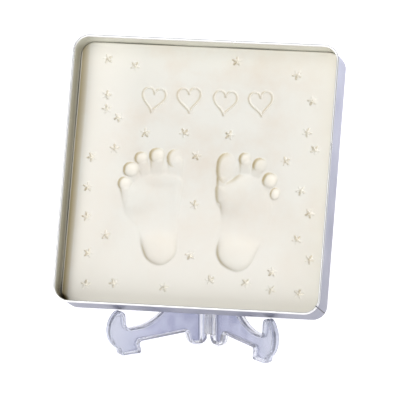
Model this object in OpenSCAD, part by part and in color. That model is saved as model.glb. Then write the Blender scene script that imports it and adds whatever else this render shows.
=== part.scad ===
// Imprint keepsake box: an open square tin with a slab of clay that holds two baby footprints,
// leaning on a clear easel of two folding halves. Millimetres, +Z up, the open front faces -Y.

/* [Tin] */
// Width and height of the tin, outside its curled rim
tin_side = 170; // [155:1:200]
// Depth of the tin, from its back to the top of its rim
tin_depth = 32; // [26:1:42]
// Outer radius of the tin's corners
tin_corner_r = 9; // [8:0.5:14]
// Thickness of the tinplate
sheet_t = 0.4; // [0.3:0.05:0.6]
// Outside diameter of the curled rim
curl_d = 1.5; // [1.3:0.1:2.2]
// Outer radius of the fold at the back of the wall
fold_r = 1; // [0.8:0.1:1.6]
// Width of the flange that the wall turns in behind the base
flange_w = 4; // [3:0.25:6]
// Width of the lap that joins the ends of the wall
lap_w = 4; // [3:0.5:6]
// Turn of the lap's edge below the right side, round the lower right corner
lap_start = 28; // [20:1:45]
// Distance from the edge of the base to its pressed panel
panel_margin = 10; // [6:1:20]
// How far the panel of the base is pressed in
panel_step = 1; // [0.5:0.25:2]

/* [Clay] */
// Thickness of the clay
clay_t = 13; // [10:0.5:18]
// Gap that the clay leaves to the wall as it dries
clay_gap = 0.2; // [0.1:0.1:2]
// Radius of the clay's front edge
clay_edge_r = 1.5; // [1:0.5:6]

/* [Footprints] */
// Length of a footprint, from the longest toe to the heel
foot_l = 76; // [60:1:84]
// Depth of the soles pressed into the clay
sole_depth = 2.6; // [1.5:0.1:4]
// Depth of the toes pressed into the clay
toe_depth = 2.2; // [1.2:0.1:3]
// Distance between the middles of the footprints
print_spacing = 55; // [50:1:66]
// How far the footprints lie below the middle of the clay
print_drop = 26.5; // [15:0.5:30]
// Outward lean of each footprint
print_tilt = 8; // [0:0.5:14]

/* [Easel] */
// Height of the uprights
easel_h = 110; // [100:1:122]
// Reach of each half, from the hinge line to the front of its hook
arm_reach = 73; // [69:0.5:82]
// Height of the hooks
hook_h = 29; // [27:0.5:34]
// Radius of the hook's round front
hook_r = 14.5; // [12:0.5:15.5]
// Radius of the hook's point
nose_r = 4; // [3:0.1:4.6]
// Height of the seat between hook and upright
seat_h = 17; // [14:0.5:18.5]
// Radius of the sweep from the seat up to the upright
sweep_r = 31; // [24:1:34]
// Backward slope of the upright's front edge
upright_slope = 9; // [5:0.5:12]
// Radius of the upright's round top
tip_r = 4.5; // [3:0.25:5]
// Height of the arch under each arm, beside the front foot
arch_h = 7.5; // [5.5:0.5:9]
// Rise of the arch from the front foot to the rear foot
arch_rise = 1.4; // [0:0.1:2]
// Length of each front foot
front_foot_l = 15.5; // [12:0.5:18]
// Length of each rear foot
rear_foot_l = 12; // [11:0.5:16]
// Width of the rim round each half
rim_w = 5.2; // [4.6:0.1:8]
// Thickness of the rim round each half
rim_t = 1.8; // [1.4:0.1:2.2]
// Thickness of the web inside the rim
web_t = 1.6; // [1.2:0.1:2.4]
// Width of the spine beside the hinge
spine_w = 5; // [4.5:0.25:7]

/* [Hinge] */
// Radius of the hinge barrels
barrel_r = 2.9; // [2.6:0.1:3.4]
// Radius of the hinge pin
pin_r = 1.5; // [1.2:0.1:1.7]
// Length of each snap knuckle
knuckle_l = 27; // [15:1:34]
// Distance of the snap knuckles from the ends of the spine
knuckle_inset = 6; // [5:0.5:10]
// Width of the slot that the pin snaps in through
snap_slot_w = 2.2; // [1.6:0.1:2.3]

/* [Fit] */
// Angle between the open halves of the easel
open_angle = 90; // [84:1:96]
// Backward lean of the tin
tin_lean = 22; // [20:0.5:24]
// How far the hooks' points stand in from the back of the tin
hook_overlap = 4; // [3:0.5:8]
// Clearance between the tin and what it rests on
rest_gap = 0.3; // [0.2:0.05:0.5]
// Clearance of each half from the plane where the folded halves meet
fold_gap = 0.4; // [0.3:0.05:0.8]
// Radial clearance of the pin in the snap knuckles
pin_gap = 0.06; // [0.02:0.01:0.1]
// Clearance round and between the hinge barrels
barrel_gap = 0.4; // [0.3:0.05:0.6]
// Clearance of the base panel inside the wall's fold
base_gap = 0.1; // [0.05:0.05:0.3]

/* [Hidden] */
$fn = 48;

// Turn of each step along a rounded outline
arc_step = 6;
// Overlap of a cutting shape past the surface that it cuts
cut = 1;

// Tin sizes that follow from the ones above
wall_side = tin_side - 2 * (curl_d - sheet_t);
base_side = wall_side - 2 * (fold_r + base_gap);
base_corner_r = tin_corner_r - fold_r - base_gap;
panel_side = base_side - 2 * panel_margin;
panel_corner_r = max(base_corner_r - panel_margin, 2 * base_corner_r / 3);
base_top = 2 * sheet_t + panel_step;
clay_side = wall_side - 2 * (sheet_t + clay_gap);
clay_corner_r = tin_corner_r - sheet_t - clay_gap;
clay_edge = min(clay_edge_r, clay_corner_r);
clay_top = base_top + clay_t;

// Sole outline of a right foot that is 76 mm long, heel down, big toe to the left
print_l = 76;
print_scale = foot_l / print_l;
sole_points = [
    [-4.5, 28.5], [6, 27], [14.5, 21.5], [19, 14], [17.5, 4], [14.5, -6], [13.2, -15], [11, -23.5],
    [2, -30], [-8.5, -26.5], [-13, -17], [-14.5, -3], [-18.5, 10], [-17.5, 20], [-12, 26]
];
// Middle and radius of each toe, from the big toe on
toes = [[-16.5, 33, 6.2], [-5.9, 41.4, 4.6], [4.3, 39, 4.2], [13.4, 30.8, 3.9], [18.2, 22.2, 3.6]];
// Inset and depth of each ring of the sole's dish, as a share of its full depth
sole_rings = [[-0.4, -0.4], [0, 0], [0.7, 0.55], [2.2, 0.85], [5, 1]];

// Slopes of the hook and the feet, in degrees
hook_start = 55;
hook_end = 50;
hook_inner_slope = 5;
foot_flare = 14;
rear_foot_flare = 17;

// Corner radii of the easel's outline
rear_foot_r = 5;
foot_heel_r = 1.6;
foot_toe_r = 3.5;
waist_r = 2;
arch_corner_r = 1.5;
valley_r = 3.5;
least_r = 0.3;

// Length of straight edge between the front foot's waist and the hook's curve
waist_run = 1.2;

// Places on the easel half, as distance from the hinge line and height
half_angle = open_angle / 2;
nose_turn = 180 - hook_end - hook_inner_slope;
hook_mid_z = hook_h - nose_r - (hook_r - nose_r) * sin(hook_end);
nose_mid = [arm_reach - hook_r + (hook_r - nose_r) * cos(hook_end), hook_h - nose_r];
hook_low = [arm_reach, hook_mid_z - hook_r * tan(hook_start / 2)];
hook_high = [arm_reach, hook_mid_z + hook_r * tan(hook_end / 2)];
nose_run = hook_r * tan(hook_end / 2) + nose_r * tan(nose_turn / 2);
nose_corner = hook_high + nose_run * [-sin(hook_end), cos(hook_end)];
valley = [nose_corner[0] - (nose_corner[1] - seat_h) * tan(hook_inner_slope), seat_h];
waist_back = hook_r * tan(hook_start / 2) + waist_run;
waist = hook_low - waist_back * [sin(hook_start), cos(hook_start)];
foot_toe = [waist[0] - waist[1] * tan(foot_flare), 0];
foot_heel = [foot_toe[0] - front_foot_l, 0];
arch_front = [foot_heel[0] + arch_h * tan(foot_flare), arch_h];
rear_foot = [fold_gap + rear_foot_l, 0];
arch_back_h = arch_h + arch_rise;
arch_back = [rear_foot[0] + arch_back_h * tan(rear_foot_flare), arch_back_h];

// The tin's underside rests on the hooks' points, nearest at the hooks' outer faces
hook_set = nose_mid[0] * cos(half_angle) - (fold_gap + rim_w / 2) * sin(half_angle)
    - hook_overlap * cos(tin_lean);
underside_slope = cos(half_angle) * tan(tin_lean);
outer_reach = nose_mid[0] * cos(half_angle) - (fold_gap + rim_w) * sin(half_angle);
underside_z = nose_mid[1] + (nose_r + rest_gap) * sqrt(1 + pow(underside_slope, 2))
    - outer_reach * tan(tin_lean);

// The tin's back leans on the uprights' round tops, nearest at their inner faces
back_slope = tan(tin_lean) / cos(half_angle);
tip_mid_z = easel_h - tip_r;
tip_reach = back_slope * tip_mid_z + (tip_r + rest_gap) * sqrt(1 + pow(back_slope, 2));
least_back = (fold_gap + tip_r + tip_reach) * cos(half_angle) - fold_gap * sin(half_angle);
tip_set = (least_back - underside_z * tan(tin_lean)) * pow(cos(tin_lean), 2);

// Where the tin stands: as far back as hook_overlap says, unless the uprights' tops stop it sooner
tin_set = max(hook_set, tip_set);
tin_edge_z = underside_z + tin_set * tan(tin_lean);
back_reach = (tin_set + fold_gap * sin(half_angle) + tin_edge_z * tan(tin_lean)) / cos(half_angle);
tip_mid_r = back_reach - tip_reach;
upright_top = [
    tip_mid_r + (tip_r - (easel_h - tip_mid_z) * sin(upright_slope)) / cos(upright_slope),
    easel_h
];
upright_foot = [upright_top[0] + (easel_h - seat_h) * tan(upright_slope), seat_h];

// Outline of one easel half: each corner with the radius that rounds it
half_outline = [
    [fold_gap, 0, rear_foot_r],
    [rear_foot[0], rear_foot[1], rear_foot_r],
    [arch_back[0], arch_back[1], arch_corner_r],
    [arch_front[0], arch_front[1], arch_corner_r],
    [foot_heel[0], foot_heel[1], foot_heel_r],
    [foot_toe[0], foot_toe[1], foot_toe_r],
    [waist[0], waist[1], waist_r],
    [hook_low[0], hook_low[1], hook_r],
    [hook_high[0], hook_high[1], hook_r],
    [nose_corner[0], nose_corner[1], nose_r],
    [valley[0], valley[1], valley_r],
    [upright_foot[0], upright_foot[1], sweep_r],
    [upright_top[0], upright_top[1], tip_r],
    [fold_gap, easel_h, min(tip_r, (upright_top[0] - fold_gap) / 2)]
];

// Hinge: a snap knuckle near each end of the left spine, the right half's barrel between them
knuckle_starts = [knuckle_inset, easel_h - knuckle_inset - knuckle_l];
barrel_start = knuckle_inset + knuckle_l + barrel_gap;
barrel_l = easel_h - 2 * barrel_start;
pocket = (rim_w - web_t) / 2;

// Depth of the whole object, which puts the origin under the middle of its box
curl_mid = [curl_d / 2 - sheet_t, tin_depth - curl_d / 2];
tin_front = tin_set + curl_mid[0] * sin(tin_lean) + curl_mid[1] * cos(tin_lean) + curl_d / 2;
tin_back = (wall_side - fold_r) * sin(tin_lean) - fold_r * cos(tin_lean) + fold_r - tin_set;
hinge_y = (tin_front - tin_back) / 2;

function unit(v) = v / norm(v);
function place(corner) = [corner[0], corner[1]];
function left_of(v) = [-v[1], v[0]];
function neighbour(list, i, step) = list[(i + step + len(list)) % len(list)];

// Points of the arc of radius r that rounds the corner at p between a and b
function corner_arc(a, p, b, r) =
    let (
        u = unit(a - p),
        v = unit(b - p),
        half = acos(u * v) / 2,
        mid = p + unit(u + v) * r / sin(half),
        from = p + u * r / tan(half) - mid,
        to = p + v * r / tan(half) - mid,
        start = atan2(from[1], from[0]),
        swing = (atan2(to[1], to[0]) - start + 540) % 360 - 180,
        steps = max(2, ceil(abs(swing) / arc_step))
    )
    [for (i = [0 : steps]) mid + r * [cos(start + swing * i / steps), sin(start + swing * i / steps)]];

// A closed outline with every corner rounded
function rounded(outline) = [
    for (i = [0 : len(outline) - 1])
        each corner_arc(
            place(neighbour(outline, i, -1)), place(outline[i]), place(neighbour(outline, i, 1)), outline[i][2]
        )
];

// The same outline moved inwards by d, with its corner radii to suit
function inset(outline, d) = [
    for (i = [0 : len(outline) - 1])
        let (
            p = place(outline[i]),
            before = unit(p - place(neighbour(outline, i, -1))),
            after = unit(place(neighbour(outline, i, 1)) - p),
            inwards = (left_of(before) + left_of(after)) / (1 + before * after),
            moved = p + d * inwards,
            outer_corner = left_of(before) * after > 0,
            r = outer_corner ? max(outline[i][2] - d, least_r) : outline[i][2] + d
        )
        [moved[0], moved[1], r]
];

// A smooth closed curve through points, with the given number of steps between each two
function smooth_curve(points, steps) = [
    for (i = [0 : len(points) - 1], k = [0 : steps - 1])
        let (
            p0 = neighbour(points, i, -1),
            p1 = points[i],
            p2 = neighbour(points, i, 1),
            p3 = neighbour(points, i, 2),
            s = k / steps
        )
        (2 * p1 + (p2 - p0) * s + (2 * p0 - 5 * p1 + 4 * p2 - p3) * pow(s, 2)
            + (3 * p1 - p0 - 3 * p2 + p3) * pow(s, 3)) / 2
];

// A ring of points moved inwards by d, for a curve that runs clockwise
function moved_in(ring, d) = [
    for (i = [0 : len(ring) - 1])
        ring[i] - d * left_of(unit(neighbour(ring, i, 1) - neighbour(ring, i, -1)))
];

// A square block with round upright corners, centred on the origin
module rounded_block(side, r, h) {
    run = side - 2 * r;
    translate([-side / 2, -run / 2, 0]) cube([side, run, h]);
    translate([-run / 2, -side / 2, 0]) cube([run, side, h]);
    for (x = [-run / 2, run / 2], y = [-run / 2, run / 2])
        translate([x, y, 0]) cylinder(h = h, r = r);
}

// A section carried round a square with round corners: its x is outwards from the square, its y is up
module carried_round(side, r) {
    run = side - 2 * r;
    for (turn = [0 : 90 : 270]) rotate(turn) {
        translate([side / 2, run / 2, 0]) rotate([90, 0, 0]) linear_extrude(run) children();
        translate([run / 2, run / 2, 0]) rotate_extrude(angle = 90) translate([r, 0]) children();
    }
}

// Section of the tin's wall: flange and fold at the back, straight wall, rim curled outwards
module wall_section() {
    translate([-flange_w, 0]) square([flange_w - fold_r, sheet_t]);
    translate([-fold_r, fold_r]) intersection() {
        difference() {
            circle(fold_r);
            circle(fold_r - sheet_t);
        }
        translate([0, -fold_r]) square(fold_r);
    }
    translate([-sheet_t, fold_r]) square([sheet_t, tin_depth - curl_d / 2 - fold_r]);
    translate([curl_mid[0], curl_mid[1]]) difference() {
        circle(curl_d / 2);
        circle(curl_d / 2 - sheet_t);
        translate([-curl_d, -curl_d]) square(curl_d);
    }
}

// Stands a piece of the tin on the easel: back edge at the hooks, back on the uprights
module on_easel() {
    translate([0, hinge_y - tin_set, tin_edge_z])
        rotate([90 - tin_lean, 0, 0])
            translate([0, wall_side / 2, 0]) children();
}

// Strip bent into a square, with the lap of its two ends on the lower right corner
module tin_wall() {
    corner = wall_side / 2 - tin_corner_r;
    lap_turn = min(lap_w / tin_corner_r * 180 / PI, lap_start);
    lap_h = tin_depth - curl_d - fold_r - sheet_t;
    color("#dcdbe8") on_easel() union() {
        carried_round(wall_side, tin_corner_r) wall_section();
        translate([corner, -corner, fold_r]) rotate(-lap_start)
            rotate_extrude(angle = lap_turn) translate([tin_corner_r - sheet_t / 2, 0]) square([sheet_t, lap_h]);
    }
}

// Back panel that lies on the wall's flange, its middle pressed in towards the clay
module tin_base() {
    color("#cfcfdc") on_easel() translate([0, 0, sheet_t]) difference() {
        union() {
            rounded_block(base_side, base_corner_r, sheet_t);
            rounded_block(panel_side, panel_corner_r, sheet_t + panel_step);
        }
        translate([0, 0, -cut])
            rounded_block(panel_side - 2 * sheet_t, panel_corner_r - sheet_t, panel_step + cut);
    }
}

// Dish that a sole leaves, with its rim at z = 0
module sole_dish() {
    outline = print_scale * smooth_curve(sole_points, 4);
    count = len(outline);
    rings = [for (ring = sole_rings) [for (p = moved_in(outline, ring[0])) [p[0], p[1], -ring[1] * sole_depth]]];
    middle = [0, 0, -sole_depth];
    points = [each [for (ring = rings) each ring], middle];
    last = len(rings) - 1;
    sides = [
        for (k = [0 : last - 1], i = [0 : count - 1])
            let (j = (i + 1) % count, a = k * count, b = (k + 1) * count)
            each [[a + i, b + i, a + j], [a + j, b + i, b + j]]
    ];
    floor_faces = [for (i = [0 : count - 1]) [last * count + i, len(points) - 1, last * count + (i + 1) % count]];
    polyhedron(points, [[for (i = [0 : count - 1]) i], each sides, each floor_faces]);
}

// Hollow that a toe leaves: the low part of a ball whose rim has the toe's radius
module toe_hollow(r) {
    ball_r = (pow(r, 2) + pow(toe_depth, 2)) / (2 * toe_depth);
    translate([0, 0, ball_r - toe_depth]) sphere(ball_r);
}

// Everything that one foot presses in
module footprint() {
    sole_dish();
    for (toe = toes) translate(print_scale * place(toe)) toe_hollow(print_scale * toe[2]);
}

// Slab of clay with a soft front edge, bare but for the two footprints
module clay_slab() {
    color("#efe9d9") on_easel() translate([0, 0, base_top]) difference() {
        union() {
            carried_round(clay_side, clay_corner_r) {
                translate([-clay_corner_r, 0]) square([clay_corner_r - clay_edge, clay_t]);
                translate([-clay_edge, 0]) square([clay_edge, clay_t - clay_edge]);
                translate([-clay_edge, clay_t - clay_edge]) intersection() {
                    circle(clay_edge);
                    square(clay_edge);
                }
            }
            translate([-clay_side / 2 + clay_corner_r, -clay_side / 2 + clay_corner_r, 0])
                cube([clay_side - 2 * clay_corner_r, clay_side - 2 * clay_corner_r, clay_t]);
        }
        for (side = [0, 1]) mirror([side, 0, 0])
            translate([print_spacing / 2, -print_drop, clay_t]) rotate(-print_tilt) footprint();
    }
}

// Moulding of one easel half, hinge line on the Z axis: a thin web in a wide rim, solid along the spine
module easel_half() {
    translate([0, fold_gap + rim_w, 0]) rotate([90, 0, 0]) difference() {
        linear_extrude(rim_w) polygon(rounded(half_outline));
        for (z = [-cut, rim_w - pocket]) translate([0, 0, z]) difference() {
            linear_extrude(pocket + cut) polygon(rounded(inset(half_outline, rim_t)));
            translate([0, 0, -cut]) cube([spine_w, easel_h, pocket + 3 * cut]);
        }
    }
}

// Right half as it stands when the easel is open, with the middle barrel and the pin
module easel_right() {
    color([0.82, 0.86, 0.95, 0.5]) translate([0, hinge_y, 0]) union() {
        difference() {
            rotate(half_angle - 90) easel_half();
            for (z = knuckle_starts) translate([0, 0, z - barrel_gap])
                cylinder(h = knuckle_l + 2 * barrel_gap, r = barrel_r + barrel_gap);
        }
        translate([0, 0, barrel_start]) cylinder(h = barrel_l, r = barrel_r);
        translate([0, 0, knuckle_inset]) cylinder(h = easel_h - 2 * knuckle_inset, r = pin_r);
    }
}

// Left half, with the two knuckles that snap on the pin
module easel_left() {
    color([0.82, 0.86, 0.95, 0.5]) translate([0, hinge_y, 0]) difference() {
        union() {
            mirror([1, 0, 0]) difference() {
                rotate(half_angle - 90) easel_half();
                translate([0, 0, barrel_start - barrel_gap])
                    cylinder(h = barrel_l + 2 * barrel_gap, r = barrel_r + barrel_gap);
            }
            for (z = knuckle_starts) translate([0, 0, z]) cylinder(h = knuckle_l, r = barrel_r);
        }
        for (z = knuckle_starts) translate([0, 0, z - barrel_gap]) {
            cylinder(h = knuckle_l + 2 * barrel_gap, r = pin_r + pin_gap);
            translate([0, -snap_slot_w / 2, 0]) cube([barrel_r + cut, snap_slot_w, knuckle_l + 2 * barrel_gap]);
        }
    }
}

tin_wall();
tin_base();
clay_slab();
easel_left();
easel_right();
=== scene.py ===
# Imprint keepsake box: an open square tin with a slab of clay that holds two baby footprints, leaning on
# a clear easel of two folding halves. Metres, +Z up, the open front faces -Y.
from math import cos, pi, radians, sin

import bmesh
import bpy
import numpy as np
from mathutils import Matrix, Vector


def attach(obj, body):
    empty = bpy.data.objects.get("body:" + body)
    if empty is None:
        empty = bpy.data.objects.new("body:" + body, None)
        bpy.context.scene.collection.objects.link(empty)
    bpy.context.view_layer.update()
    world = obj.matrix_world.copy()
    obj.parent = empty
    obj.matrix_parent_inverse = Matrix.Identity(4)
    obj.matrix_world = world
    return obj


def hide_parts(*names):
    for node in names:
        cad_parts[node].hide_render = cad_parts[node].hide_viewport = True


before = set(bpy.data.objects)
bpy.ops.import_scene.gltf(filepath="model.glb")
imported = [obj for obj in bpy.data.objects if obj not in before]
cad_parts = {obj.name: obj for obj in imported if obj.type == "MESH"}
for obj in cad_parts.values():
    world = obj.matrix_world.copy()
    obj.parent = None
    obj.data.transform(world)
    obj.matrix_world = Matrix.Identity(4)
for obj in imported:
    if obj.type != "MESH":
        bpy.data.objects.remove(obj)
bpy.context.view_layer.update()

# Tin wall
# A strip of bright tinplate, bent round into a square and lapped at the lower right corner. Its front edge
# is curled outwards over itself, and its back edge is turned in to hold the base.
MM = 0.001
LEAN = radians(22)
SHEET = 0.4 * MM
CURL_D = 1.5 * MM
FOLD_R = 1.0 * MM
FLANGE = 4.0 * MM
CORNER_R = 9.0 * MM
# The lap in one corner: how far its end stands proud and over what length, where in the corner it ends, and
# how far round the step down from it goes, both in degrees
LAP_LIFT = 0.45 * MM
LAP_FADE = 14.0 * MM
LAP_TURN = -28
LAP_GAP_TURN = 4
# A faint wave that bending leaves in the straight sides, gone at the fold and at the curl
WAVE_HEIGHT = 0.1 * MM
WAVE_LENGTH = 70.0 * MM
WAVE_FADE = 2.0 * MM
# How finely the sheet is drawn: along the sides, round the corners in degrees, and round its own section
STATION_STEP = 1.5 * MM
CORNER_STEP = 5
FOLD_STEPS = 8
STRAIGHT_STEPS = 14
CURL_STEPS = 20

# The tin's own axes: right, up its face, and out of its open front
tin_axes = Matrix(((1, 0, 0), (0, sin(LEAN), -cos(LEAN)), (0, cos(LEAN), sin(LEAN))))


def tin_box(node):
    """Lowest and highest corner of a node along the tin's own axes."""
    points = np.array([vertex.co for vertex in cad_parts[node].data.vertices])
    own = points @ np.array(tin_axes)
    return own.min(0), own.max(0)


wall_low, wall_high = tin_box("tin_wall")
tin_side = wall_high[0] - wall_low[0]
tin_depth = wall_high[2] - wall_low[2]
tin_middle = (wall_low + wall_high) / 2
tin_place = tin_axes.to_4x4() @ Matrix.Translation((tin_middle[0], tin_middle[1], wall_low[2]))


def new_piece(name, points, faces, place, body, replaced):
    """A smooth mesh piece that rides on a body and stands for a node."""
    mesh = bpy.data.meshes.new(name)
    mesh.from_pydata([tuple(p) for p in points], [], [tuple(f) for f in faces])
    mesh.transform(place)
    mesh.update()
    mesh.shade_smooth()
    piece = bpy.data.objects.new(name, mesh)
    bpy.context.scene.collection.objects.link(piece)
    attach(piece, body)
    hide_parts(replaced)
    return piece


def arc(middle, r, start, end, steps):
    """Points of an arc, with the direction out of its middle at each."""
    turns = np.radians(np.linspace(start, end, steps + 1))
    out = np.stack([np.cos(turns), np.sin(turns)], 1)
    return np.array(middle) + r * out, out


def wall_section():
    """Middle line of the bent sheet as outwards and forwards places, and the direction across the sheet."""
    curl_r = CURL_D / 2
    fold_line, fold_out = arc((-FOLD_R, FOLD_R), FOLD_R - SHEET / 2, -90, 0, FOLD_STEPS)
    curl_line, curl_out = arc((curl_r - SHEET, tin_depth - curl_r), curl_r - SHEET / 2, 180, -90, CURL_STEPS)
    flange_line = [(-FLANGE, SHEET / 2), (-FOLD_R - SHEET, SHEET / 2)]
    heights = np.linspace(FOLD_R, tin_depth - curl_r, STRAIGHT_STEPS)[1:-1]
    straight = [(-SHEET / 2, height) for height in heights]
    line = np.vstack([flange_line, fold_line, straight, curl_line])
    across = np.vstack([[(0, -1)] * 2, fold_out, [(1, 0)] * len(straight), -curl_out])
    return line, across


def wall_stations():
    """Stations round the square from the lap on: a foot CORNER_R inside the wall, and the way out."""
    side = tin_side - 2 * (CURL_D - SHEET)
    core = side / 2 - CORNER_R
    run = np.linspace(-core, core, int(2 * core / STATION_STEP) + 1)[1:-1]
    stations = []
    for quarter in range(5):
        first = LAP_TURN - LAP_GAP_TURN if quarter == 0 else 0
        last = LAP_TURN if quarter == 4 else -90
        turn = radians(-90 * quarter)
        spin = np.array([[cos(turn), -sin(turn)], [sin(turn), cos(turn)]])
        corner = spin @ (core, -core)
        for angle in np.linspace(first, last, int((first - last) / CORNER_STEP) + 1):
            out = spin @ (cos(radians(angle)), sin(radians(angle)))
            stations.append((corner, out))
        if quarter < 4:
            for place in run:
                stations.append((spin @ (-place, -core), spin @ (0, -1)))
    return stations


def tin_wall_mesh():
    """The closed sheet carried round the square, with the lapped end standing proud at the last station."""
    line, across = wall_section()
    skin = np.vstack([line + across * SHEET / 2, (line - across * SHEET / 2)[::-1]])
    stations = wall_stations()
    feet = np.array([foot for foot, out in stations])
    outs = np.array([out for foot, out in stations])
    rim = feet + outs * CORNER_R
    gone = np.concatenate([[0], np.cumsum(np.linalg.norm(np.diff(rim, axis=0), axis=1))])
    left = gone[-1] - gone
    lift = LAP_LIFT * np.clip(1 - (left - LAP_FADE / 2) / (LAP_FADE / 2), 0, 1)
    outer = skin[:, 0] > -SHEET / 2
    straight = np.clip(np.minimum(skin[:, 1] - FOLD_R, tin_depth - CURL_D - skin[:, 1]) / WAVE_FADE, 0, 1)
    bulge = WAVE_HEIGHT * np.sin(pi * skin[:, 1] / tin_depth) * straight
    points = []
    for foot, out, distance, raised in zip(feet, outs, gone, lift):
        wave = bulge * sin(2 * pi * distance / WAVE_LENGTH)
        reach = CORNER_R + skin[:, 0] + wave + raised * straight * outer
        flat = foot + np.outer(reach, out)
        points.append(np.column_stack([flat, skin[:, 1]]))
    count, rings = len(skin), len(points)
    faces = []
    for ring in range(rings):
        after = (ring + 1) % rings
        for i in range(count):
            j = (i + 1) % count
            faces.append((ring * count + i, after * count + i, after * count + j, ring * count + j))
    return np.vstack(points), faces


wall_points, wall_faces = tin_wall_mesh()
tin_wall = new_piece("tin_wall_sheet", wall_points, wall_faces, tin_place, "tin", "tin_wall")
line_count = len(wall_section()[0])


def on_curl(place):
    """Whether a point's or a face's place round the section is on the curl, which is half-way round."""
    return abs(place - line_count + 0.5) < CURL_STEPS


# Painted shade darkens the inside deep in the lower left corner and, less, along the left side from top to
# bottom, standing in for shadow and dark reflections there; it is painted lighter again in a streak where
# the slab's edge meets the wall. It fades out over the front third of the wall. Outside, painted shade
# darkens the lacquer towards the bottom, and the rim is left bright.
CORNER_SHADE_REACH = 15.0 * MM
SIDE_SHADE = (0.4465, 0.6365)
SIDE_SHADE_W = 3.0 * MM
FRONT_FADE = 1 / 3
CLAY_LINE_LIGHT = 0.8
CLAY_LINE_LIGHT_W = 2.5 * MM
OUTER_SHADE = 0.46

clay_low, clay_high = tin_box("clay_slab")
clay_front = clay_high[2] - wall_low[2]
half_side = tin_side / 2
from_side = wall_points[:, 0] + half_side
from_corner = np.hypot(from_side, wall_points[:, 1] + half_side)
low_share = np.interp(wall_points[:, 1], (-half_side, half_side), (1, 0))
sunk = np.clip((1 - wall_points[:, 2] / tin_depth) / FRONT_FADE, 0, 1)
# A painted streak of light along the slab's edge, where the painted shade is lifted
clay_line_light = 1 - CLAY_LINE_LIGHT * np.exp(-(((wall_points[:, 2] - clay_front) / CLAY_LINE_LIGHT_W) ** 2))
side = np.interp(low_share, (0, 1), SIDE_SHADE) * clay_line_light * np.exp(-((from_side / SIDE_SHADE_W) ** 2))
painted_shade = np.maximum(np.exp(-((from_corner / CORNER_SHADE_REACH) ** 2)), side) * sunk
around = np.arange(len(painted_shade)) % (2 * line_count)
outer_skin = around < line_count
# Outside, painted shade that grows darker towards the bottom
painted_shade[outer_skin] = OUTER_SHADE * low_share[outer_skin]
painted_shade[on_curl(around)] = 0
# The painted shade rides on the wall's points for the tinplate materials to mix in
tin_wall.data.attributes.new("painted_shade", "FLOAT", "POINT").data.foreach_set("value", painted_shade)

# Each face's finish, in the order of the materials: outside, inside, rim, and the cut edge at the lap, which
# is darkened with painted shade for the shadow in the lap's step
for face in tin_wall.data.polygons:
    place = face.index % (2 * line_count)
    face.material_index = 0 if place < line_count - 1 else 1
    if on_curl(place):
        face.material_index = 2
    if face.index >= len(wall_faces) - 2 * line_count:
        face.material_index = 3


def linear(hex_colour):
    """An sRGB hex colour as linear red, green, blue and alpha."""
    parts = [int(hex_colour[i:i + 2], 16) / 255 for i in (1, 3, 5)]
    return [p / 12.92 if p <= 0.04045 else ((p + 0.055) / 1.055) ** 2.4 for p in parts] + [1.0]


def add_node(tree, kind, settings, links=None):
    """A node with its settings, which are attributes or input values, and its links by input."""
    node = tree.nodes.new(kind)
    for key, value in settings.items():
        if isinstance(key, str) and hasattr(node, key):
            setattr(node, key, value)
        else:
            node.inputs[key].default_value = value
    for key, source in (links or {}).items():
        tree.links.new(source, node.inputs[key])
    return node


def new_material(name):
    """An empty material and its node tree, with the output node and the place on the object."""
    material = bpy.data.materials.new(name)
    material.use_nodes = True
    tree = material.node_tree
    tree.nodes.clear()
    output = add_node(tree, "ShaderNodeOutputMaterial", {})
    place = add_node(tree, "ShaderNodeTexCoord", {}).outputs["Object"]
    return material, tree, output, place


def per(size):
    """Texture scale for features of a real size in millimetres."""
    return 1 / (size * MM)


# Bright tinplate: cold-rolled steel with a thin coat of tin, under a cool clear lacquer outside and a pale,
# milky one inside. The eye sees soft, silvery reflections that blur a little more in handled patches, and a
# dark line where the strip is cut, made darker with painted shade for the shadow in the lap's step. The
# rolling grain is drawn coarser than it is, so that it shows.
# Each finish: bright and dull tint, least and most blur, and how much of it is metal
OUTSIDE = ("#bdbfd1", "#b3b5c7", 0.36, 0.48, 1.0)
INSIDE = ("#d5d5c8", "#cbcbbe", 0.1, 0.18, 0.35)
RIM = ("#efefed", "#e6e6e4", 0.26, 0.36, 1.0)
# The cut edge is darker than raw tinplate: painted shade for the crevice in the lap's step
CUT_EDGE_SHADE = ("#5a5a66", "#50505c", 0.4, 0.5, 1.0)
# The dark colour that the painted shade mixes in
PAINTED_SHADE_COLOUR = "#30260f"


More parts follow.
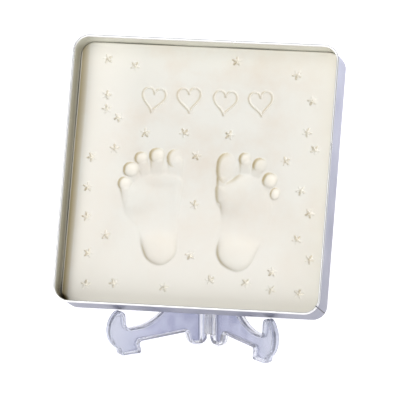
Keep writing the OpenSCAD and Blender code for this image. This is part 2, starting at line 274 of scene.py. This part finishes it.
def tinplate_material(name, bright, dull, least_blur, most_blur, metal_share):
    material, tree, output, place = new_material(name)
    handled = add_node(tree, "ShaderNodeTexNoise", {"Scale": per(30), "Detail": 4.0}, {"Vector": place})
    grain = add_node(tree, "ShaderNodeTexNoise", {"Scale": per(0.9), "Detail": 2.0}, {"Vector": place})
    tint = add_node(
        tree, "ShaderNodeMix",
        {"data_type": "RGBA", "A": linear(bright), "B": linear(dull)},
        {"Factor": handled.outputs["Fac"]},
    )
    # Painted shade, kept on the wall's points, darkens the tint
    stain_and_painted_light = add_node(tree, "ShaderNodeAttribute", {"attribute_name": "painted_shade"})
    shaded = add_node(
        tree, "ShaderNodeMix", {"data_type": "RGBA", "B": linear(PAINTED_SHADE_COLOUR)},
        {"Factor": stain_and_painted_light.outputs["Fac"], "A": tint.outputs["Result"]},
    )
    blur = add_node(
        tree, "ShaderNodeMapRange",
        {"From Min": 0.3, "From Max": 0.7, "To Min": least_blur, "To Max": most_blur},
        {"Value": handled.outputs["Fac"]},
    )
    bump = add_node(
        tree, "ShaderNodeBump", {"Strength": 0.05, "Distance": 0.05 * MM}, {"Height": grain.outputs["Fac"]}
    )
    shader = add_node(
        tree, "ShaderNodeBsdfPrincipled", {"Metallic": metal_share},
        {
            "Base Color": shaded.outputs["Result"],
            "Roughness": blur.outputs["Result"],
            "Normal": bump.outputs["Normal"],
        },
    )
    tree.links.new(shader.outputs["BSDF"], output.inputs["Surface"])
    return material


outside = tinplate_material("lacquered_tinplate", *OUTSIDE)
inside = tinplate_material("milky_lacquered_tinplate", *INSIDE)
rim = tinplate_material("curled_tinplate", *RIM)
cut_edge_shade = tinplate_material("cut_tinplate_shaded", *CUT_EDGE_SHADE)
for material in (outside, inside, rim, cut_edge_shade):
    tin_wall.data.materials.append(material)

# Tin base
# A flat panel of the same tinplate with its middle pressed in, held by the wall's turned-in edge.
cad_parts["tin_base"].data.materials.clear()
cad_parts["tin_base"].data.materials.append(outside)

# Clay slab
# Air-dry clay rolled out by hand and pressed into the tin, with a soft edge, two footprints, and star and
# heart marks pressed in while it was wet. It has shrunk away from the wall a little.
CLAY_CORNER_R = 8.4 * MM
CLAY_EDGE_R = 0.8 * MM
CLAY_STEP = 0.4 * MM
EDGE_STEPS = 6

clay_half = (clay_high[0] - clay_low[0]) / 2
clay_back = clay_low[2] - wall_low[2]

# Outlines and toes in millimetres from the middle of the face: right, then up
LEFT_SOLE = [
    (-43, -5), (-38, 0), (-31, 1.8), (-23, 2), (-15, 1.5), (-11, -3), (-11.4, -12), (-12.2, -22),
    (-12.2, -36), (-12, -47), (-15.2, -53), (-22.3, -56.5), (-30.5, -53), (-34.4, -46), (-36.5, -38),
    (-39.2, -32.3), (-43.4, -28.7), (-47, -24), (-48.5, -17), (-47.5, -10),
]
RIGHT_SOLE = [
    (14, -2.5), (20, 0.5), (25, 3.8), (32, 4.4), (37.5, 1.5), (42, -5.5), (46, -12), (47.5, -17),
    (46, -25), (43.8, -33), (41, -41), (39.3, -45), (35.1, -53.9), (27.6, -58), (18.6, -54.7),
    (14.2, -49.2), (13.3, -43.4), (14.6, -36.5), (15.4, -27), (13.1, -17.2), (10.9, -14.4), (10, -9.6),
    (10.1, -4.8),
]
# Each toe: middle, half width, half length, depth, turn of its long axis from upright, how much deeper it is
# at its left and at its tip, and how much painted light whitens its smooth bottom
LEFT_TOES = [
    (-17.2, 11.6, 5.4, 5.8, 1.1, -8, 1.4, -0.1, 0.1),
    (-29.2, 13.0, 4.9, 4.5, 3.3, 0, 0.3, 0.1, 0.5),
    (-39.2, 10.8, 4.2, 3.9, 2.6, 0, 0.25, 0.15, 0.45),
    (-45.2, 3.3, 4.9, 4.6, 3.0, 0, 0.2, 0.2, 0.65),
    (-48.3, -5.7, 4.4, 4.2, 2.6, 0, 0.3, 0.1, 0.5),
]
RIGHT_TOES = [
    (15.4, 7.0, 5.9, 9.6, 2.0, -3, 0.75, 0.0, 0.1),
    (27.1, 13.4, 3.8, 3.9, 2.5, 0, 0.5, 0.0, 0.3),
    (36.8, 9.8, 4.4, 4.4, 2.6, 20, 0.7, 0.0, 0.3),
    (43.9, 0.5, 4.6, 4.7, 3.2, 20, 0.3, 0.3, 0.9),
    (47.9, -7.8, 3.0, 3.8, 2.0, 10, 0.2, 0.0, 0.8),
]
# How square a toe's outline is, how steep its edge is in the middle and how that grows to the right
TOE_SQUARE = 2.3
TOE_STEEPNESS = (0.42, 0.12)
# Shares of the way out at which a toe's smooth bottom ends and its edge with painted shade starts. The
# painted shade is full where the toe is deep, in millimetres, and lies on the upper left, where shadow
# falls: its share in the middle, and how that grows to the right and to the tip.
TOE_BOTTOM = 0.5
TOE_EDGE = 0.6
TOE_SHADE = 0.5
TOE_SHADE_SHARE = (0.3, -0.8, 0.35)
TOE_FULL = 2.0
# How much painted light whitens the bottom in the middle, and how that grows to the right, towards the light
TOE_LIGHT_SHARE = (0.9, 0.6)
# Shallow stalks from toes to sole, which fade towards the sole: start, end, half width and depth
LEFT_STALKS = [
    ((-17.0, 9.0), (-16.8, 1.0), 4.7, 1.6),
    ((-29.0, 9.5), (-28.4, 2.0), 4.2, 2.6), ((-38.3, 7.5), (-35.4, 0.0), 3.4, 1.9),
    ((-44.0, 1.2), (-41.0, -3.0), 3.0, 1.0), ((-47.9, -9.5), (-45.2, -19.0), 3.2, 2.4),
]
RIGHT_STALKS = [
    ((27.4, 11.0), (28.0, 3.0), 3.6, 2.5), ((35.4, 8.0), (34.0, 2.0), 3.2, 2.2),
    ((42.4, -1.5), (41.2, -6.0), 2.4, 0.9), ((13.2, 0.0), (14.4, -15.0), 3.0, 3.2),
]
STALK_FADE = 0.75
# Where soles are pressed in: middle, reach across, reach along and depth
LEFT_PADS = [
    (-24, -50, 19, 12.5, 3.8), (-45, -14, 15, 10, 1.7),
    (-27, 0, 17, 6, 0.6), (-13, -8, 5, 16, 0.6),
]
RIGHT_PADS = [(24, -50, 18, 12.5, 4.4), (16, -5, 15, 17, 4.0), (37, -10, 14, 16, 0.5)]
SOLE_STEPS = 5
SOLE_DEPTH = 0.35
SOLE_EDGE = 1.6
# Clay pushed up beside a print
LIP_HEIGHT = 0.22
LIP_WIDTH = 2.4

# Stars stamped at these places: an arm's length, half width at the middle and at the tip, and depth. Its
# sides slope out to the flare's number of half widths.
STARS = [
    (-66, 73), (-48, 69), (17, 75), (56, 68), (-65, 50), (-64, 41), (-56, 36), (-38, 27), (-13, 28),
    (16, 28), (67, 52), (65, 32), (-57, 16), (-71, 10), (-4, 14), (53, 13), (71, 21), (-72, -9), (64, -5),
    (-3, -17), (-71, -28), (71, -19), (-58, -39), (64, -36), (-68, -51), (-3, -49), (73, -48), (-68, -71),
    (-50, -69), (-18, -70), (11, -64), (34, -65), (50, -57), (50, -68), (68, -70),
]
STAR_R = 2.7
STAR_ARM_W = 0.9
STAR_TIP_W = 0.4
STAR_DEPTH = 1.4
STAR_FLARE = 1.4
# Turns that the stars take one after the other, how much deeper one side of the stamp is pressed, and how
# that side turns from star to star, in degrees
STAR_TURNS = (-58, -29, 0, 29, 58)
STAR_TILT = 0.7
STAR_TILT_TURN = 97

# Hearts drawn with a stylus: middle and turn in degrees
HEARTS = [(-34.5, 48, -6), (-11.5, 48.8, 4), (11.5, 48, -3), (34.5, 48.6, 7)]
HEART_W = 15.0
HEART_H = 15.5
HEART_STEPS = 60
GROOVE_DEPTH = 1.2
GROOVE_WIDTH = 0.55
GROOVE_LIP = 0.1

# Slopes between which a steep edge takes painted shade, the most that it takes, and the share of that on an
# edge that faces neither left nor right; an edge that faces right, away from the light, takes it all
STEEP = (0.6, 2.4)
STEEP_SHADE = 0.5
STEEP_LEVEL = 0.4
# Painted shade on the left side of small marks, painted highlight on their right side, which faces the
# light, and the slope below which there is none
MARK_SHADE = 0.22
MARK_HIGHLIGHT = 0.8
MARK_FLAT = 0.2
# Painted shade along the slab's left edge, where the left wall's shadow falls, and how far in it reaches, in
# millimetres, both at the top and at the bottom. The outer share of the rounded edge is left without it.
LEFT_SHADE = (0.6, 1.1)
LEFT_SHADE_W = (5.0, 2.6)
LEFT_BARE = 0.4
# Painted light whitens clean clay towards the bottom, and towards the left and right sides from half-way
# out, where the walls shade it. Painted shade of about this much keeps it from that.
LOW_LIGHT = 0.9
SIDE_LIGHT = (1.2, 0.6)
SIDE_START = 0.5
CLEAN_SHADE = 0.15
# The clay falls short of the lower left corner, and painted shade darkens the hollow there
CORNER_GAP = 6.0 * MM
CORNER_DROP = 3.0
CORNER_SHADE = 1.1
# Low swells that hands leave: how many, how high, how short and long, and the seed that they are drawn from
HAND_WAVES = 26
HAND_HEIGHT = 0.07
HAND_LENGTHS = (14, 70)
HAND_SEED = 7


def closed_curve(points, steps):
    """A smooth closed curve through points."""
    p = np.array(points, float)
    before, after, later = np.roll(p, 1, 0), np.roll(p, -1, 0), np.roll(p, -2, 0)
    rows = []
    for s in np.arange(steps) / steps:
        rows.append(
            (2 * p + (after - before) * s + (2 * before - 5 * p + 4 * after - later) * s**2
             + (3 * p - before - 3 * after + later) * s**3) / 2
        )
    return np.stack(rows, 1).reshape(-1, 2)


def beside(x, y, start, end):
    """Distance of points from a straight stretch, and how far along it they are."""
    along = np.array(end) - np.array(start)
    share = ((x - start[0]) * along[0] + (y - start[1]) * along[1]) / max(along @ along, 1e-9)
    share = np.clip(share, 0, 1)
    return np.hypot(x - start[0] - share * along[0], y - start[1] - share * along[1]), share


def depth_inside(x, y, curve):
    """Distance of points from a closed curve, positive inside it."""
    near = np.full(x.shape, np.inf)
    inside = np.zeros(x.shape, bool)
    for a, b in zip(curve, np.roll(curve, -1, 0)):
        near = np.minimum(near, beside(x, y, a, b)[0])
        crosses = (a[1] > y) != (b[1] > y)
        rise = b[1] - a[1] if b[1] != a[1] else 1e-9
        inside ^= crosses & (x < a[0] + (y - a[1]) / rise * (b[0] - a[0]))
    return np.where(inside, near, -near)


def print_depth(x, y, sole, toes, stalks, pads):
    """Depth of a foot's print, negative where clay is pushed up, and its toes' painted shade, negative for
    painted light.
    """
    reach = depth_inside(x, y, closed_curve(sole, SOLE_STEPS))
    full = np.full(x.shape, SOLE_DEPTH)
    for px, py, across, along, deep in pads:
        full += deep * np.exp(-((((x - px) / across) ** 2 + ((y - py) / along) ** 2) ** 2))
    depth = np.where(reach > 0, full * (1 - np.exp(-np.maximum(reach, 0) / SOLE_EDGE)), 0)
    lip = np.where(reach < 0, LIP_HEIGHT * np.exp(-((reach / LIP_WIDTH) ** 2)), 0) * full / full.max()
    for start, end, half, deep in stalks:
        off, along = beside(x, y, start, end)
        hollow = np.sqrt(np.clip(1 - (off / half) ** 2, 0, 1))
        depth = np.maximum(depth, deep * (1 - STALK_FADE * along) * hollow)
    tone = np.zeros(x.shape)
    for tx, ty, half_w, half_l, deep, turn, left_lean, tip_lean, bottom_light in toes:
        c, s = cos(radians(turn)), sin(radians(turn))
        u, v = ((x - tx) * c - (y - ty) * s) / half_w, ((x - tx) * s + (y - ty) * c) / half_l
        share = (abs(u) ** TOE_SQUARE + abs(v) ** TOE_SQUARE) ** (1 / TOE_SQUARE)
        own = deep * (1 - left_lean * u + tip_lean * v)
        strength = np.clip(own / TOE_FULL, 0, 1)
        steepness = TOE_STEEPNESS[0] + TOE_STEEPNESS[1] * np.clip(u, -1, 1)
        depth = np.maximum(depth, own * np.clip(1 - share**2, 0, 1) ** steepness)
        ridge = LIP_HEIGHT * np.exp(-(((share - 1) * half_w / LIP_WIDTH) ** 2))
        lip = np.maximum(lip, ridge * strength)
        # Painted shade on each toe's upper left edge, and painted light on its smooth bottom
        upper_left = np.clip(TOE_SHADE_SHARE[0] + TOE_SHADE_SHARE[1] * u + TOE_SHADE_SHARE[2] * v, 0, 1)
        edge = np.clip((share - TOE_EDGE) / (1 - TOE_EDGE), 0, 1) * (share < 1) * strength
        tone += TOE_SHADE * upper_left * edge
        bottom = np.clip((1 - share) / TOE_BOTTOM, 0, 1)
        tone -= bottom_light * np.clip(TOE_LIGHT_SHARE[0] + TOE_LIGHT_SHARE[1] * u, 0, 1) * bottom
    return depth - np.where(depth > 0, 0, lip), tone


def star_depth(x, y):
    """Depth of the star stamps, each turned its own way: five arms that narrow to their tips."""
    depth = np.zeros(x.shape)
    for number, (sx, sy) in enumerate(STARS):
        near = np.hypot(x - sx, y - sy) < STAR_R + 2 * STAR_TIP_W
        for arm in range(5):
            turn = radians(72 * arm + 90 + STAR_TURNS[number % len(STAR_TURNS)])
            press = 1 + STAR_TILT * cos(turn - radians(STAR_TILT_TURN * number))
            tip = (sx + STAR_R * cos(turn), sy + STAR_R * sin(turn))
            along = np.clip(((x[near] - sx) * cos(turn) + (y[near] - sy) * sin(turn)) / STAR_R, 0, 1)
            half = STAR_ARM_W + (STAR_TIP_W - STAR_ARM_W) * along
            share = beside(x[near], y[near], (sx, sy), tip)[0] / half
            depth[near] = np.maximum(depth[near], STAR_DEPTH * press * np.clip(STAR_FLARE - share, 0, 1))
    return depth


def heart_curve(hx, hy, turn):
    """Outline of a heart drawn in one stroke: the common heart curve, whose height runs from -17 to 12."""
    t = np.linspace(0, 2 * pi, HEART_STEPS)
    u = HEART_W / 2 * np.sin(t) ** 3
    rise = 13 * np.cos(t) - 5 * np.cos(2 * t) - 2 * np.cos(3 * t) - np.cos(4 * t)
    v = HEART_H / 2 * (rise + 2.5) / 14.5
    c, s = cos(radians(turn)), sin(radians(turn))
    return np.column_stack([hx + u * c - v * s, hy + u * s + v * c])


def heart_depth(x, y):
    """Depth of the stylus grooves, with clay pushed up beside them."""
    depth = np.zeros(x.shape)
    for heart in HEARTS:
        near = np.hypot(x - heart[0], y - heart[1]) < HEART_W
        curve = heart_curve(*heart)
        gap = np.full(near.sum(), np.inf)
        for a, b in zip(curve, curve[1:]):
            gap = np.minimum(gap, beside(x[near], y[near], a, b)[0])
        groove = GROOVE_DEPTH * np.exp(-((gap / GROOVE_WIDTH) ** 2))
        pushed = GROOVE_LIP * np.exp(-(((gap - 2 * GROOVE_WIDTH) / GROOVE_WIDTH) ** 2))
        depth[near] += groove - pushed
    return depth


def hand_marks(x, y):
    """Low swells that hands leave when they smooth clay."""
    draw = np.random.RandomState(HAND_SEED)
    height = np.zeros(x.shape)
    for _ in range(HAND_WAVES):
        length = draw.uniform(*HAND_LENGTHS)
        heading, start = draw.uniform(0, 2 * pi, 2)
        across = x * cos(heading) + y * sin(heading)
        height += np.cos(2 * pi / length * across + start) * length / HAND_LENGTHS[1]
    return height * HAND_HEIGHT


def clay_mesh():
    """A grid that rounds over at the edges, with the marks pressed into it, closed by sides and a back."""
    flat = clay_half - CLAY_EDGE_R
    middle = np.linspace(-flat, flat, int(round(2 * flat / CLAY_STEP)) + 1)
    over = flat + CLAY_EDGE_R * np.sin(np.linspace(0, pi / 2, EDGE_STEPS + 1))[1:]
    ticks = np.concatenate([-over[::-1], middle, over])
    grid_x, grid_y = np.meshgrid(ticks, ticks)
    inset = clay_half - np.maximum(abs(grid_x), abs(grid_y))
    bend = np.clip(CLAY_EDGE_R - inset, 0, CLAY_EDGE_R)
    drop = CLAY_EDGE_R - np.sqrt(CLAY_EDGE_R**2 - bend**2)
    # The square grid's corners are drawn in to rounded ones
    core = clay_half - CLAY_CORNER_R
    foot_x, foot_y = np.clip(grid_x, -core, core), np.clip(grid_y, -core, core)
    dx, dy = grid_x - foot_x, grid_y - foot_y
    pull = np.maximum(abs(dx), abs(dy)) / np.maximum(np.hypot(dx, dy), 1e-12)
    x, y = foot_x + dx * pull, foot_y + dy * pull
    face_x, face_y = x / MM, y / MM
    left, left_tone = print_depth(face_x, face_y, LEFT_SOLE, LEFT_TOES, LEFT_STALKS, LEFT_PADS)
    right, right_tone = print_depth(face_x, face_y, RIGHT_SOLE, RIGHT_TOES, RIGHT_STALKS, RIGHT_PADS)
    depth = left + right
    # Wet clay softens every edge
    depth[1:-1] = (depth[:-2] + 2 * depth[1:-1] + depth[2:]) / 4
    depth[:, 1:-1] = (depth[:, :-2] + 2 * depth[:, 1:-1] + depth[:, 2:]) / 4
    rise_y, rise_x = np.gradient(depth, ticks / MM, ticks / MM)
    slope = np.hypot(rise_x, rise_y)
    # Painted shade on steep edges, most on those that face right, away from the light on the left
    on_left = np.clip(STEEP_LEVEL + (1 - STEEP_LEVEL) * rise_x / np.maximum(slope, 1e-6), 0, 1)
    edge = STEEP_SHADE * np.clip((slope - STEEP[0]) / (STEEP[1] - STEEP[0]), 0, 1) * on_left
    tone = left_tone + right_tone
    stain_and_painted_light = np.where(tone > edge, tone, edge + np.minimum(tone, 0) * (1 - edge / STEEP_SHADE))
    marks = star_depth(face_x, face_y) + heart_depth(face_x, face_y)
    mark_slope = np.gradient(marks, ticks / MM, axis=1)
    # Painted shade on the left side of small marks and painted highlight on their right side
    stain_and_painted_light = stain_and_painted_light + MARK_SHADE * np.clip(mark_slope - MARK_FLAT, 0, 1)
    stain_and_painted_light = stain_and_painted_light - MARK_HIGHLIGHT * np.clip(-mark_slope - MARK_FLAT, 0, 1)
    # Painted shade along the left edge, where the left wall casts its shadow
    from_left = x + clay_half
    most = np.interp(y, (-clay_half, clay_half), LEFT_SHADE[::-1])
    width = MM * np.interp(y, (-clay_half, clay_half), LEFT_SHADE_W[::-1])
    bare = np.clip(from_left / CLAY_EDGE_R - LEFT_BARE, 0, 1)
    left_shade = most * bare * np.exp(-from_left / width)
    # Painted light whitens clean clay towards the bottom and the sides, where the walls shade it
    clean = np.exp(-(((np.maximum(stain_and_painted_light, 0) + left_shade) / CLEAN_SHADE) ** 2))
    side = np.interp(x / clay_half, (-1, -SIDE_START, SIDE_START, 1), (SIDE_LIGHT[0], 0, 0, SIDE_LIGHT[1]))
    painted_light = np.maximum(LOW_LIGHT * np.clip(-y / clay_half, 0, 1), side)
    # Painted shade darkens the hollow at the lower left corner
    short = np.clip(1 - (np.hypot(from_left, y + clay_half) / CORNER_GAP) ** 2, 0, 1)
    stain_and_painted_light = stain_and_painted_light - painted_light * clean + left_shade + CORNER_SHADE * short
    depth = depth + marks + hand_marks(face_x, face_y) + CORNER_DROP * short
    height = clay_front - drop - depth * MM
    # The face's squares, then the sides down to the back, then the back
    count = len(ticks)
    top = np.column_stack([x.ravel(), y.ravel(), height.ravel()])
    number = np.arange(count * count).reshape(count, count)
    corners = [number[:-1, :-1], number[:-1, 1:], number[1:, 1:], number[1:, :-1]]
    squares = np.stack(corners, -1).reshape(-1, 4)
    border = np.concatenate([number[0, :-1], number[:-1, -1], number[-1, :0:-1], number[:0:-1, 0]])
    back = top[border] * (1, 1, 0) + (0, 0, clay_back)
    low = len(top) + np.arange(len(border))
    sides = np.column_stack([border, low, np.roll(low, -1), np.roll(border, -1)])
    stain_and_painted_light = np.concatenate([stain_and_painted_light.ravel(), np.zeros(len(back))])
    return np.vstack([top, back]), squares.tolist() + sides.tolist() + [low[::-1].tolist()], stain_and_painted_light


clay_points, clay_faces, clay_painted_light = clay_mesh()
clay = new_piece("clay_slab_imprinted", clay_points, clay_faces, tin_place, "tin", "clay_slab")
clay.data.attributes.new("stain_and_painted_light", "FLOAT", "POINT").data.foreach_set("value", clay_painted_light)

# Air-dry clay, dried and lightly sanded: a chalky, matt, warm white with faint cloudy stains. Painted shade
# turns it tan to dark brown on steep edges, on the toes' upper left, at the lower left corner and along the
# left wall, where shadow falls, and painted light whitens it on the toes' smooth bottoms, on the lit sides
# of small marks and towards the bottom and sides. The fine grit is drawn coarser than it is, so that it
# shows.
CLAY_COLOUR = "#edebe1"
CLAY_STAIN = "#e9e0d1"
# Tan and dark brown of the painted shade, and white of the painted light
TAN_SHADE_COLOUR = "#c9ba94"
DARK_SHADE_COLOUR = "#6b5630"
PAINTED_LIGHT_COLOUR = "#fffbf0"


def clay_material():
    material, tree, output, place = new_material("air_dry_clay")
    cloud = add_node(
        tree, "ShaderNodeTexNoise", {"Scale": per(35), "Detail": 5.0, "Roughness": 0.6}, {"Vector": place}
    )
    grit = add_node(tree, "ShaderNodeTexNoise", {"Scale": per(0.8), "Detail": 3.0}, {"Vector": place})
    stain_and_painted_light = add_node(
        tree, "ShaderNodeMapRange", {"From Min": 0.42, "From Max": 0.72}, {"Value": cloud.outputs["Fac"]}
    )
    tint = add_node(
        tree, "ShaderNodeMix",
        {"data_type": "RGBA", "A": linear(CLAY_COLOUR), "B": linear(CLAY_STAIN)},
        {"Factor": stain_and_painted_light.outputs["Result"]},
    )
    # Painted light and shade kept on the slab's points: below zero whitens, above zero tans and then darkens
    edge = add_node(tree, "ShaderNodeAttribute", {"attribute_name": "stain_and_painted_light"})
    painted_light = add_node(tree, "ShaderNodeMath", {"operation": "MULTIPLY", 1: -1.0}, {0: edge.outputs["Fac"]})
    lightened = add_node(
        tree, "ShaderNodeMix", {"data_type": "RGBA", "B": linear(PAINTED_LIGHT_COLOUR)},
        {"Factor": painted_light.outputs["Value"], "A": tint.outputs["Result"]},
    )
    some = add_node(tree, "ShaderNodeMapRange", {"From Max": 0.5}, {"Value": edge.outputs["Fac"]})
    more = add_node(tree, "ShaderNodeMapRange", {"From Min": 0.5}, {"Value": edge.outputs["Fac"]})
    tan_shaded = add_node(
        tree, "ShaderNodeMix", {"data_type": "RGBA", "B": linear(TAN_SHADE_COLOUR)},
        {"Factor": some.outputs["Result"], "A": lightened.outputs["Result"]},
    )
    dark_shaded = add_node(
        tree, "ShaderNodeMix", {"data_type": "RGBA", "B": linear(DARK_SHADE_COLOUR)},
        {"Factor": more.outputs["Result"], "A": tan_shaded.outputs["Result"]},
    )
    bump = add_node(
        tree, "ShaderNodeBump", {"Strength": 0.25, "Distance": 0.12 * MM}, {"Height": grit.outputs["Fac"]}
    )
    shader = add_node(
        tree, "ShaderNodeBsdfPrincipled", {"Roughness": 0.85, "Specular IOR Level": 0.3},
        {"Base Color": dark_shaded.outputs["Result"], "Normal": bump.outputs["Normal"]},
    )
    tree.links.new(shader.outputs["BSDF"], output.inputs["Surface"])
    return material


clay.data.materials.append(clay_material())

# Easel halves
# Two mirrored mouldings of clear polystyrene, a thin web inside a wide rim. Two snap knuckles on the left
# half grip the pin that is moulded on the right half, so the pair folds like a book.
EDGE_SOFT = 0.6 * MM
SHARP = radians(28)
WEB_INSET = 1.5 * MM
SQUARE_ON = 0.99
# What counts as one point, as one flat face and as a sliver when the solid's triangles are joined
ONE_POINT = 0.002 * MM
ONE_PLANE = radians(1)
SLIVER = 0.01 * MM


def moulded_half(node):
    """A copy of a half's solid with the small round outer edges that a mould gives."""
    solid = bmesh.new()
    solid.from_mesh(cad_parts[node].data)
    bmesh.ops.remove_doubles(solid, verts=solid.verts, dist=ONE_POINT)
    bmesh.ops.dissolve_limit(solid, angle_limit=ONE_PLANE, verts=solid.verts, edges=solid.edges)
    outer = [edge for edge in solid.edges if edge.is_convex and edge.calc_face_angle(0) > SHARP]
    bmesh.ops.bevel(solid, geom=outer, offset=EDGE_SOFT, segments=2, profile=0.5, affect="EDGES")
    bmesh.ops.dissolve_degenerate(solid, dist=SLIVER, edges=solid.edges)
    bmesh.ops.triangulate(solid, faces=solid.faces)
    # Slivers that the rounding leaves folded flat are two faces on the same points, and are taken out
    same_points = {}
    for face in solid.faces:
        same_points.setdefault(frozenset(face.verts), []).append(face)
    folded = [face for faces in same_points.values() if len(faces) > 1 for face in faces]
    bmesh.ops.delete(solid, geom=folded, context="FACES")
    mesh = bpy.data.meshes.new(node + "_moulding")
    solid.to_mesh(mesh)
    solid.free()
    mesh.shade_smooth()
    mesh.set_sharp_from_angle(angle=SHARP)
    side = max(mesh.polygons, key=lambda face: face.area).normal.copy()
    places = [face.center.dot(side) for face in mesh.polygons]
    for face, place in zip(mesh.polygons, places):
        on_web = min(place - min(places), max(places) - place) > WEB_INSET
        face.material_index = int(on_web and abs(face.normal.dot(side)) > SQUARE_ON)
    half = bpy.data.objects.new(mesh.name, mesh)
    bpy.context.scene.collection.objects.link(half)
    half.modifiers.new("flat faces", "WEIGHTED_NORMAL").keep_sharp = True
    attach(half, node)
    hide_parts(node)
    return half


# Clear polystyrene, injection moulded: glassy polished rims and a web with a faint matt texture, both with a
# cool tint, and with flow marks that barely ripple the gloss. The tint is painted paler towards the thin
# hooks, painted light that stands in for their glints.
# Each finish: pale and deep tint, how clear it is, and least and most blur. The hooks' paler painted tint
# comes in between two distances from the middle.
RIM_FINISH = ("#ffffff", "#f3f4fb", 0.8, 0.03, 0.06)
WEB_FINISH = ("#c9cbdf", "#b1b5cd", 0.75, 0.15, 0.3)
HOOK_GLINT_TINT = "#d6d9e5"
HOOK_REACH = (30 * MM, 50 * MM)


def polystyrene_material(name, pale, deep, clear, least_blur, most_blur):
    material, tree, output, place = new_material(name)
    flow = add_node(tree, "ShaderNodeTexNoise", {"Scale": per(9), "Detail": 2.0}, {"Vector": place})
    gloss = add_node(
        tree, "ShaderNodeMapRange", {"To Min": least_blur, "To Max": most_blur},
        {"Value": flow.outputs["Fac"]},
    )
    patch = add_node(
        tree, "ShaderNodeMapRange", {"From Min": 0.35, "From Max": 0.65}, {"Value": flow.outputs["Fac"]}
    )
    tint = add_node(
        tree, "ShaderNodeMix", {"data_type": "RGBA", "A": linear(pale), "B": linear(deep)},
        {"Factor": patch.outputs["Result"]},
    )
    across = add_node(tree, "ShaderNodeSeparateXYZ", {}, {"Vector": place})
    off_middle = add_node(tree, "ShaderNodeMath", {"operation": "ABSOLUTE"}, {0: across.outputs["X"]})
    # Painted light: the tint pales towards the hooks
    hook = add_node(
        tree, "ShaderNodeMapRange", {"From Min": HOOK_REACH[0], "From Max": HOOK_REACH[1]},
        {"Value": off_middle.outputs["Value"]},
    )
    paler = add_node(
        tree, "ShaderNodeMix", {"data_type": "RGBA", "B": linear(HOOK_GLINT_TINT)},
        {"Factor": hook.outputs["Result"], "A": tint.outputs["Result"]},
    )
    bump = add_node(
        tree, "ShaderNodeBump", {"Strength": 0.1, "Distance": 0.2 * MM}, {"Height": flow.outputs["Fac"]}
    )
    shader = add_node(
        tree, "ShaderNodeBsdfPrincipled", {"Transmission Weight": clear, "IOR": 1.59},
        {
            "Base Color": paler.outputs["Result"],
            "Roughness": gloss.outputs["Result"],
            "Normal": bump.outputs["Normal"],
        },
    )
    tree.links.new(shader.outputs["BSDF"], output.inputs["Surface"])
    return material


polished = polystyrene_material("polished_polystyrene", *RIM_FINISH)
matt = polystyrene_material("matt_polystyrene", *WEB_FINISH)
for node in ("easel_right", "easel_left"):
    half = moulded_half(node)
    half.data.materials.append(polished)
    half.data.materials.append(matt)

# Floor, light and camera
# A plain white floor and backdrop, soft light from the front left, from above and from all round, and a long
# lens at the front.
FLOOR_SIZE = 12.0
BACKDROP_HEIGHT = 8.0
FLOOR_COLOUR = "#f0f0f2"
FLOOR_GLOW = 0.78


def floor_material():
    material, tree, output, place = new_material("white_floor")
    glow = {"Emission Color": linear(FLOOR_COLOUR), "Emission Strength": FLOOR_GLOW}
    shader = add_node(
        tree, "ShaderNodeBsdfPrincipled", {"Base Color": linear(FLOOR_COLOUR), "Roughness": 0.9} | glow
    )
    tree.links.new(shader.outputs["BSDF"], output.inputs["Surface"])
    return material


floor_mesh = bpy.data.meshes.new("floor")
reach = FLOOR_SIZE / 2
floor_mesh.from_pydata(
    [(-reach, -reach, 0), (reach, -reach, 0), (reach, reach, 0), (-reach, reach, 0),
     (-reach, reach, BACKDROP_HEIGHT), (reach, reach, BACKDROP_HEIGHT)],
    [], [(0, 1, 2, 3), (3, 2, 5, 4)],
)
floor = bpy.data.objects.new("floor", floor_mesh)
bpy.context.scene.collection.objects.link(floor)
floor_mesh.materials.append(floor_material())

SKY_COLOUR = "#f3f3f8"
SKY_STRENGTH = 0.45
world = bpy.data.worlds.new("studio")
world.use_nodes = True
world.node_tree.nodes["Background"].inputs["Color"].default_value = linear(SKY_COLOUR)
world.node_tree.nodes["Background"].inputs["Strength"].default_value = SKY_STRENGTH
bpy.context.scene.world = world
bpy.context.scene.view_settings.view_transform = "Standard"

# How far each lamp stands off, its turn from straight ahead, its height angle, its size and its power
LAMPS = {"key": (3.2, -21, 18, 1.2, 26.0), "fill": (3.2, 10, 46, 1.4, 12.6)}

rim_middle = tin_place @ Vector((0, 0, tin_depth))


def off_from(middle, distance, turn, rise):
    """A point at a distance, turned right from straight ahead and raised, in degrees."""
    turn, rise = radians(turn), radians(rise)
    return middle + distance * Vector((sin(turn) * cos(rise), -cos(turn) * cos(rise), sin(rise)))


def look_at(thing, target):
    """Turns a lamp or camera to a target."""
    thing.rotation_euler = (target - thing.location).to_track_quat("-Z", "Y").to_euler()


for name, (distance, turn, rise, size, power) in LAMPS.items():
    lamp = bpy.data.lights.new(name, "AREA")
    lamp.shape = "DISK"
    lamp.size = size
    lamp.energy = power
    holder = bpy.data.objects.new(name, lamp)
    holder.location = off_from(rim_middle, distance, turn, rise)
    look_at(holder, rim_middle)
    bpy.context.scene.collection.objects.link(holder)

# The camera's turn and rise in degrees, its distance, its lens in millimetres, and how far from the rim's
# middle it aims
VIEW_TURN = 12.44
VIEW_RISE = 12.93
VIEW_DISTANCE = 3.738
VIEW_LENS = 540
AIM_OFFSET = Vector((2.91, 0, -16.93)) * MM
aim = rim_middle + AIM_OFFSET
lens = bpy.data.cameras.new("camera")
lens.lens = VIEW_LENS
lens.sensor_width = 36
lens.clip_end = 100
camera = bpy.data.objects.new("camera", lens)
camera.location = off_from(aim, VIEW_DISTANCE, VIEW_TURN, VIEW_RISE)
look_at(camera, aim)
bpy.context.scene.collection.objects.link(camera)
bpy.context.scene.camera = camera
